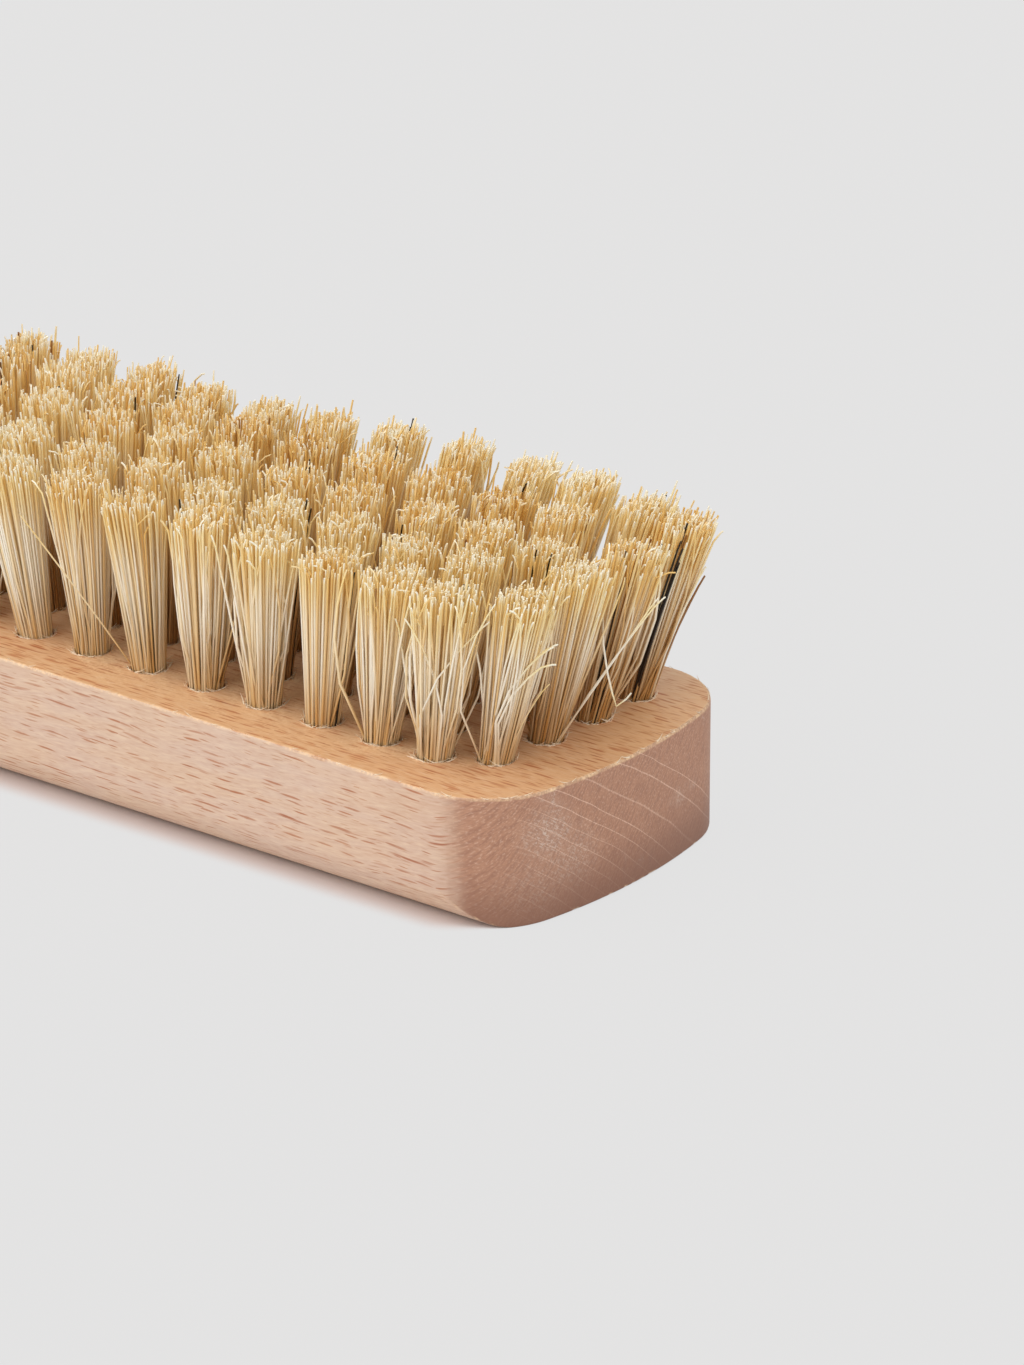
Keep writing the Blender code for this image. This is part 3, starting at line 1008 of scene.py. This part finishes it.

# %% [markdown]
# ## Bristle
# A bristle is a straw-coloured plant or animal fibre about a third of a millimetre thick. No two have the
# same tone: most are straw or cream, some golden, and about one in a hundred is nearly black. They are a
# little glossy. Their cut tips are paler than the rest, and a painted highlight whitens them more, for the
# light that they catch. Light also gets through them, which is why the depth of the field glows golden. A
# Translucent shader would trap that light in closed tubes this thin, so a little emission in the bristle's
# own colour, fading out toward the foot, stands in for it. The colour carries painted light and shade as
# well: a golden tint towards the top, for the light that the bristles throw on each other, painted shade
# towards the foot, and deeper painted shade low in the tufts inside the field. Each bristle's own tone, how
# far along it a point is, and how deep in the field its tuft stands come with the mesh as attributes, so one
# material serves all of them.

# %% Bristle material
LIGHT_THROUGH = (1.0, 0.72, 0.34, 1.0)
FOOT_SHADE_TINT = (0.74, 0.58, 0.36, 1.0)
DEEP_SHADE_TINT = (0.62, 0.43, 0.23, 1.0)
TOP_BOUNCE_TINT = (0.96, 0.88, 0.6, 1.0)

bristle, graph = new_material("bristle")
tone = graph.attribute("tone")
along = graph.attribute("along")
ramp = graph.node("ShaderNodeValToRGB", {"Fac": tone})
stops = [
    (0.0, linear(36, 27, 21)),
    (0.06, linear(140, 92, 48)),
    (0.18, linear(238, 201, 140)),
    (0.5, linear(250, 228, 186)),
    (1.0, linear(255, 247, 230)),
]
elements = ramp.node.color_ramp.elements
while len(elements) < len(stops):
    elements.new(0.5)
for element, stop in zip(elements, stops):
    element.position, element.color = stop
# painted highlight: the last few per cent of the paler bristles whiten, partly their cut ends' own paler
# colour
tip = graph.ramp(along, 0.95, 0.99) * graph.ramp(tone, 0.3, 0.85)
# painted light: a golden tint towards the top of every bristle, for the light the bristles throw on each other
base = graph.stain(graph.ramp(along, 0.62, 0.95), ramp, TOP_BOUNCE_TINT)
base = graph.colour(tip * 0.95, base, linear(255, 252, 236))
inner = graph.attribute("inner")
# painted shade: darker towards the foot of every bristle, and darker still low in the tufts inside the field
foot_shade = graph.ramp(along, 0.5, 0.0) * 0.85
deep_shade = graph.ramp(along, 0.88, 0.25) * (inner * 0.85)
base = graph.stain(foot_shade, base, FOOT_SHADE_TINT)
base = graph.stain(deep_shade, base, DEEP_SHADE_TINT)
through = graph.stain(1.0, base, LIGHT_THROUGH)
through = graph.colour(graph.ramp(along, 0.0, 1.0), linear(0, 0, 0), through)
graph.finish({"Base Color": base, "Roughness": 0.36, "Emission Color": through, "Emission Strength": 0.06})
print("bristle:", len(bristle.node_tree.nodes), "nodes")

# %% [markdown]
# ## A tree that grows a tuft
# About ninety bristles are folded over a wire and wedged in each hole, so that twice as many stand in it.
# They leave it packed side by side and fan out to a wider, level-trimmed top. Geometry Nodes copy each tuft's
# point once for every bristle. The copies' numbers set them out by the golden angle, like the seeds of a
# sunflower, which packs a disc evenly. The same place in a wider disc is where the bristle's tip goes, and
# random numbers with a long tail push a few tips astray. The outer bristles end a little lower, so a tuft's
# top has no hard rim.

# %% Growing a tuft: where each bristle runs
GOLDEN_ANGLE = math.pi * (3 - math.sqrt(5))
BRISTLE_POINTS = 8
SHORTEST, TALLEST = -5 * MM, 2.4 * MM
LEAST_CURL = 0.1 * MM
BROWN_SHARE = 0.02
DARKEST_STRAW = 0.12


def bristle_runs(graph, given):
    """One point for every bristle, with its foot, root, tip, bend, hook, tone and thickness."""
    amount = {"Amount": given["Bristles"]}
    copies = graph.shape("DuplicateElements", given["Geometry"], amount, domain="POINT")
    place = graph.node("GeometryNodeInputPosition")
    lean = named(graph, "lean", VECTOR)
    untidy = named(graph, "untidy")
    number = copies["Duplicate Index"]
    share = graph.number("SQRT", (number + 0.5) / given["Bristles"])
    angle = number * GOLDEN_ANGLE + named(graph, "turn")
    out = graph.combine(share * graph.number("COSINE", angle), share * graph.number("SINE", angle), 0.0)
    shake = flat_step(graph, 0.05 * MM, 1)
    foot = place + (out * given["Foot Radius"] + shake)
    root = foot - lean * given["Root Depth"]

    uneven = chance(graph, -1.0, 1.0, 2) * given["Unevenness"]
    short = share_of(graph, 3) ** 22.0 * SHORTEST
    tall = share_of(graph, 14) ** 40.0 * TALLEST
    lower = share ** 3.0 * share_of(graph, 16) ** 1.5 * given["Rim Drop"]
    height = given["Length"] + uneven + (short + tall) + named(graph, "rise") - lower
    spread = given["Tip Radius"] * named(graph, "spread")
    tip = place + lean * height + out * spread
    astray = share_of(graph, 4) ** 7.0 * untidy * given["Stray"]
    drift = flat_step(graph, 1.0, 5) * astray
    wobble = flat_step(graph, 0.2 * MM, 6)
    tip = tip + (drift + wobble)

    curl = share_of(graph, 7) ** 10.0 * untidy * given["Bend"] + LEAST_CURL
    bend = flat_step(graph, 1.0, 8) * curl
    hooked = share_of(graph, 9) ** 6.0 * given["Hook"]
    hook = chance(graph, (-1.0, -1.0, -0.45), (1.0, 1.0, 0.0), 10) * hooked

    black = share_of(graph, 11) < named(graph, "dark")
    brown = share_of(graph, 15) < BROWN_SHARE
    tone = chance(graph, 0.16, 1.0, 12) + named(graph, "tint")
    tone = graph.number("MINIMUM", graph.larger(tone, DARKEST_STRAW), 1.0)
    tone = tone * (1.0 - black) * (brown * -0.75 + 1.0)
    width = chance(graph, 0.8, 1.15, 13)

    vectors = {"foot": foot, "root": root, "tip": tip, "bend": bend, "hook": hook}
    points = store(graph, copies["Geometry"], vectors, VECTOR)
    return store(graph, points, {"tone": tone, "width": width})


print("a bristle has", BRISTLE_POINTS, "points")

# %% [markdown]
# ### The shape of one bristle
# Every point then gets a short line of eight points, which is bent into the bristle: from its root at the
# bottom of the hole to its foot at the face, and on to its tip. The points crowd towards the tip, because the
# last millimetre of many bristles curls over like a hook. A ring of four sides along the line gives it its
# thickness, which tapers a little towards the tip.

# %% Growing a tuft: the bristles
TIP_CROWDING = 2.4
HOOK_START = 0.93
BRISTLE_SIDES = 4
BRISTLE_THICKNESS = 0.33 * MM


def bristle_skin(graph, given, points):
    """Each point's line bent to its bristle's run, and given its thickness."""
    line = graph.node("GeometryNodeCurvePrimitiveLine")
    line = graph.shape("ResampleCurve", line, {"Count": BRISTLE_POINTS})
    lines = put_on(graph, points, line)

    index = graph.node("GeometryNodeSplineParameter")["Index"]
    step = (index - 1.0) / (BRISTLE_POINTS - 2.0)
    left = 1.0 - graph.larger(step, 0.0)
    along = 1.0 - left ** TIP_CROWDING
    foot = named(graph, "foot", VECTOR)
    straight = named(graph, "tip", VECTOR) - foot
    run = foot + straight * along
    arch = along * (1.0 - along) * 4.0
    run = run + named(graph, "bend", VECTOR) * arch
    last = graph.larger(along - HOOK_START, 0.0)
    last = (last / (1 - HOOK_START)) ** 2.0
    run = run + named(graph, "hook", VECTOR) * last
    choice = {"False": run, "True": named(graph, "root", VECTOR)}
    run = graph.shape("Switch", index < 0.5, choice, input_type="VECTOR")

    lines = store(graph, lines, {"along": along})
    lines = graph.shape("SetPosition", lines, {"Position": run})
    taper = along ** 6.0 * -0.3 + 1.0
    skin = tube(graph, lines, BRISTLE_SIDES, given["Thickness"] * 0.5 * named(graph, "width") * taper)
    for name in ("foot", "root", "tip", "bend", "hook", "width", "lean"):
        skin = graph.shape("RemoveAttribute", skin, {"Name": name})
    return graph.shape("SetShadeSmooth", skin, {"Shade Smooth": True})


def build_tufts():
    graph, given = new_tree(
        "bristle tufts",
        {
            "Bristles": 180,
            "Foot Radius": 2.12 * MM,
            "Tip Radius": 4.0 * MM,
            "Length": 24.3 * MM,
            "Root Depth": 10.0 * MM,
            "Thickness": BRISTLE_THICKNESS,
            "Unevenness": 0.4 * MM,
            "Rim Drop": 2.4 * MM,
            "Stray": 3.5 * MM,
            "Bend": 3.5 * MM,
            "Hook": 1.9 * MM,
        },
    )
    points = bristle_runs(graph, given)
    return finish_tree(graph, given, bristle_skin(graph, given, points))


tuft_tree = build_tufts()
print("tuft tree:", len(tuft_tree.nodes), "nodes")

# %% [markdown]
# ### Setting the tufts
# Hand-set tufts are never equal: each leans a little its own way, some open wider, and the ones at the
# corners have been brushed against most and are the untidiest. Use has also swept the back row towards the
# right, most of all its last tuft, and the trimming ran a little aslant, so the tips rise towards the back.
# The rows and the two end columns are separate pieces, so each can be hidden or recoloured by itself.

# %% Setting the tufts
TUFT_SEED = 7
LEAN_SPREAD = 0.03
TRIM_RISE = 0.9 * MM
BACK_SWEEP = 0.1
BACK_SPLAY = 0.09
BACK_DROP = 1.5 * MM
LAST_REACH = Vector((0.09, -0.05, 0))
END_REACH = 0.03
bristles = random.Random(TUFT_SEED)


def smooth_step(value, low, high):
    share = min(1.0, max(0.0, (value - low) / (high - low)))
    return share * share * (3 - 2 * share)


def in_rows(place):
    """1 in the rows, and 0 in the columns at the ends."""
    return 1 - smooth_step(abs(place.x), 57 * MM, 61 * MM)


def in_back_row(place):
    return smooth_step(place.y, 8 * MM, 15 * MM) * in_rows(place)


def tuft_lean(place):
    """The hole's own lean, and what use has added to it."""
    own = Vector((bristles.uniform(-1, 1), bristles.uniform(-1, 1), 0)) * LEAN_SPREAD
    swept = BACK_SWEEP * in_back_row(place) * (1 - smooth_step(place.x, 30 * MM, 58 * MM))
    swept += END_REACH * smooth_step(place.x, 60 * MM, 64 * MM) * smooth_step(place.y, 0, 14 * MM)
    splayed = BACK_SPLAY * in_back_row(place) * smooth_step(place.x, -5 * MM, 45 * MM)
    last = in_back_row(place) * smooth_step(place.x, 50 * MM, 55 * MM)
    return lean_at(place) + own + Vector((swept, splayed, 0)) + LAST_REACH * last


def tuft_spread(place):
    """Front and corner tufts open the widest, and the back row stays tight."""
    corner = smooth_step(abs(place.x), 40 * MM, 60 * MM) * (1 - smooth_step(place.y, -14 * MM, -4 * MM))
    front = 1 - smooth_step(place.y, -14 * MM, -10 * MM)
    back = in_back_row(place) * (1 - 1.5 * smooth_step(place.x, 35 * MM, 50 * MM))
    return bristles.uniform(0.95, 1.05) * (1 + 0.06 * front + 0.08 * corner - 0.12 * back)


def tuft_rise(place):
    """How far the tips stand over the bristles' own length."""
    slope = TRIM_RISE * (place.y + row_reach) / (2 * row_reach) * in_rows(place)
    drop = BACK_DROP * in_back_row(place) * (1 - smooth_step(place.x, -10 * MM, 25 * MM))
    return bristles.uniform(-0.3, 0.3) * MM + slope - drop


def tuft_points(name, places):
    corner_share = [abs(place.x) / half_length for place in places]
    front_share = [1 - smooth_step(place.y, -12 * MM, 12 * MM) for place in places]
    values = {
        "lean": [tuft_lean(place) for place in places],
        "turn": [bristles.uniform(0, 2 * math.pi) for _ in places],
        "spread": [tuft_spread(place) for place in places],
        "rise": [tuft_rise(place) for place in places],
        "untidy": [
            0.5 + bristles.uniform(0, 0.6) + 0.4 * share**3 + share**3 * front
            for share, front in zip(corner_share, front_share)
        ],
        # a random tone for each tuft, plus painted light: the front tufts, the front corner ones most, and the
        # back row are paler
        "tint": [
            bristles.uniform(-0.1, 0.1) - 0.03 + 0.18 * front + 0.2 * share**6 * front
            + 0.19 * in_back_row(place)
            for place, share, front in zip(places, corner_share, front_share)
        ],
        # how far inside the field a tuft stands, which sets the painted shade in the bristle material
        "inner": [
            smooth_step(place.y, -14 * MM, -9 * MM) * (1 - share**8)
            for place, share in zip(places, corner_share)
        ],
        "dark": [0.0035 + 0.01 * share**6 * (1 - front) for share, front in zip(corner_share, front_share)],
    }
    return point_mesh(name, places, values)


nodes_of = {name: [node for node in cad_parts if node.startswith(name)] for name in tuft_groups}
for name, places in tuft_groups.items():
    piece = "bristles_" + name
    tufts = grown(piece, tuft_points(piece, places), tuft_tree, {"Material": bristle})
    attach(tufts, "root")
    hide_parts(*nodes_of[name])
    print(piece, len(places), "tufts for", len(nodes_of[name]), "nodes,", len(tufts.data.polygons), "faces")

# %% [markdown]
# ### Bristles astray
# A few bristles catch the eye in the picture, and chance would hardly put them there: three that curl out of
# the corner tuft, two long ones that cross the end, one that hangs in a loop, a dark bunch in the last tuft.
# These are listed one by one. Each row says from which tuft a bristle comes, where it stands in the hole, how
# far away its tip is, and how it bends, all in millimetres. The tree is the tufts' own, without its first
# part.

# %% Bristles astray
front, column = tuft_groups["row1"], tuft_groups["right_end"]
ROOT_LENGTH = 4 * MM
DARK, REDDISH, GOLDEN, CREAM = 0.0, 0.07, 0.45, 1.0
ASTRAY = (
    # tuft, foot, tip, bend, hook, tone, width
    (column[0], (1.3, -1.8, 0), (9.6, -0.8, 18.1), (-1.6, -2.2, 0.6), (0.5, 0.2, -0.1), CREAM, 1.1),
    (column[0], (1.5, -1.6, 0), (9.4, -1.2, 17.7), (-1.8, -2.2, 0.4), (0.4, 0.1, 0.0), CREAM, 0.9),
    (column[0], (1.6, -1.5, 0), (9.3, -1.0, 15.7), (-1.6, -2.0, 1.0), (0.6, 0.3, -0.4), CREAM, 1.1),
    (column[0], (-2.0, -0.6, 0), (-0.2, -5.5, 21.2), (1.4, 0.0, 0.0), (0.3, 0.2, 0.0), CREAM, 0.95),
    (column[0], (2.1, -0.5, 0), (6.8, 1.5, 11.1), (-0.3, -0.8, 0.0), (0.2, 0.3, 0.1), GOLDEN, 0.7),
    (front[-1], (-0.6, -2.0, 0), (9.5, -1.5, 20.5), (-1.8, -3.0, 0.0), (0.2, 0.0, 0.2), CREAM, 0.9),
    (front[-1], (-1.4, -1.6, 0), (-0.5, -3.8, 20.8), (0.6, -0.4, 0.0), (0.0, -0.4, 0.0), CREAM, 1.0),
    (front[-1], (1.6, -1.6, 0), (1.2, -7.0, 20.5), (2.2, 0.6, 0.0), (-0.3, 0.0, 0.2), CREAM, 0.9),
    (front[-1], (0.8, -2.0, 0), (0.8, -4.4, 18.2), (0.9, 0.4, 0.0), (0.0, 0.2, 0.3), GOLDEN, 0.8),
    (front[-2], (1.7, -1.3, 0), (5.2, 0.3, 13.0), (-0.3, -0.4, 0.0), (0.2, 0.2, 0.0), CREAM, 1.0),
    (front[7], (-1.9, -1.0, 0), (-10.5, -12.0, 21.9), (1.3, -0.7, 0.0), (0.0, 0.0, 0.0), GOLDEN, 0.8),
    (column[1], (2.1, -0.4, 0), (13.1, 6.4, 20.1), (-0.1, -1.0, 0.0), (0.3, 0.2, 0.0), CREAM, 0.9),
    (column[1], (2.0, -0.7, 0), (12.5, 5.9, 19.8), (0.3, -0.6, 0.0), (0.2, 0.3, 0.2), CREAM, 0.8),
    (column[1], (7.3, 1.9, 19.0), (8.9, 3.2, 4.5), (-0.4, -0.6, 0.0), (1.2, 0.9, 2.8), CREAM, 1.0),
    (column[2], (1.4, -1.4, 0), (7.2, -1.4, 22.4), (0.1, 0.0, 0.0), (0.0, 0.0, 0.0), DARK, 0.9),
    (column[3], (0.7, -1.8, 0), (7.7, -1.2, 23.0), (-0.1, -0.2, 0.0), (0.1, 0.0, 0.0), DARK, 0.95),
    (column[3], (0.8, -1.7, 0), (7.9, -1.1, 22.0), (-0.1, -0.2, 0.0), (0.1, 0.0, 0.0), DARK, 1.0),
    (column[3], (0.9, -1.7, 0), (7.5, -1.2, 20.0), (-0.1, -0.2, 0.0), (0.0, 0.1, 0.0), DARK, 0.9),
    (column[3], (2.0, 0.5, 0), (7.9, 3.3, 16.7), (-0.1, -0.8, 0.0), (0.2, 0.1, 0.3), REDDISH, 1.0),
    (column[3], (2.1, 0.2, 0), (8.3, 3.0, 18.4), (-0.1, -0.8, 0.0), (0.2, 0.1, 0.0), CREAM, 1.0),
)


def astray_points(name):
    places, feet, tips, bends, hooks, tones, widths = zip(*ASTRAY)
    feet = [place + Vector(foot) * MM for place, foot in zip(places, feet)]
    values = {
        "foot": feet,
        "root": [foot - lean_at(place) * ROOT_LENGTH for place, foot in zip(places, feet)],
        "tip": [place + Vector(tip) * MM for place, tip in zip(places, tips)],
        "bend": [Vector(bend) * MM for bend in bends],
        "hook": [Vector(hook) * MM for hook in hooks],
        "tone": tones,
        "width": widths,
    }
    return point_mesh(name, places, values)


def build_astray():
    graph, given = new_tree("bristles astray", {"Thickness": BRISTLE_THICKNESS})
    points = graph.shape("MeshToPoints", given["Geometry"])
    return finish_tree(graph, given, bristle_skin(graph, given, points))


astray = grown("bristles_astray", astray_points("astray"), build_astray(), {"Material": bristle})
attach(astray, "root")
print("bristles astray:", len(ASTRAY), "with", len(astray.data.polygons), "faces")

# %% [markdown]
# ## Sizes, and the end
# The size of the CAD model's box is printed.

# %% Sizes
print("CAD box", [round(1000 * v, 1) for v in cad_high - cad_low])
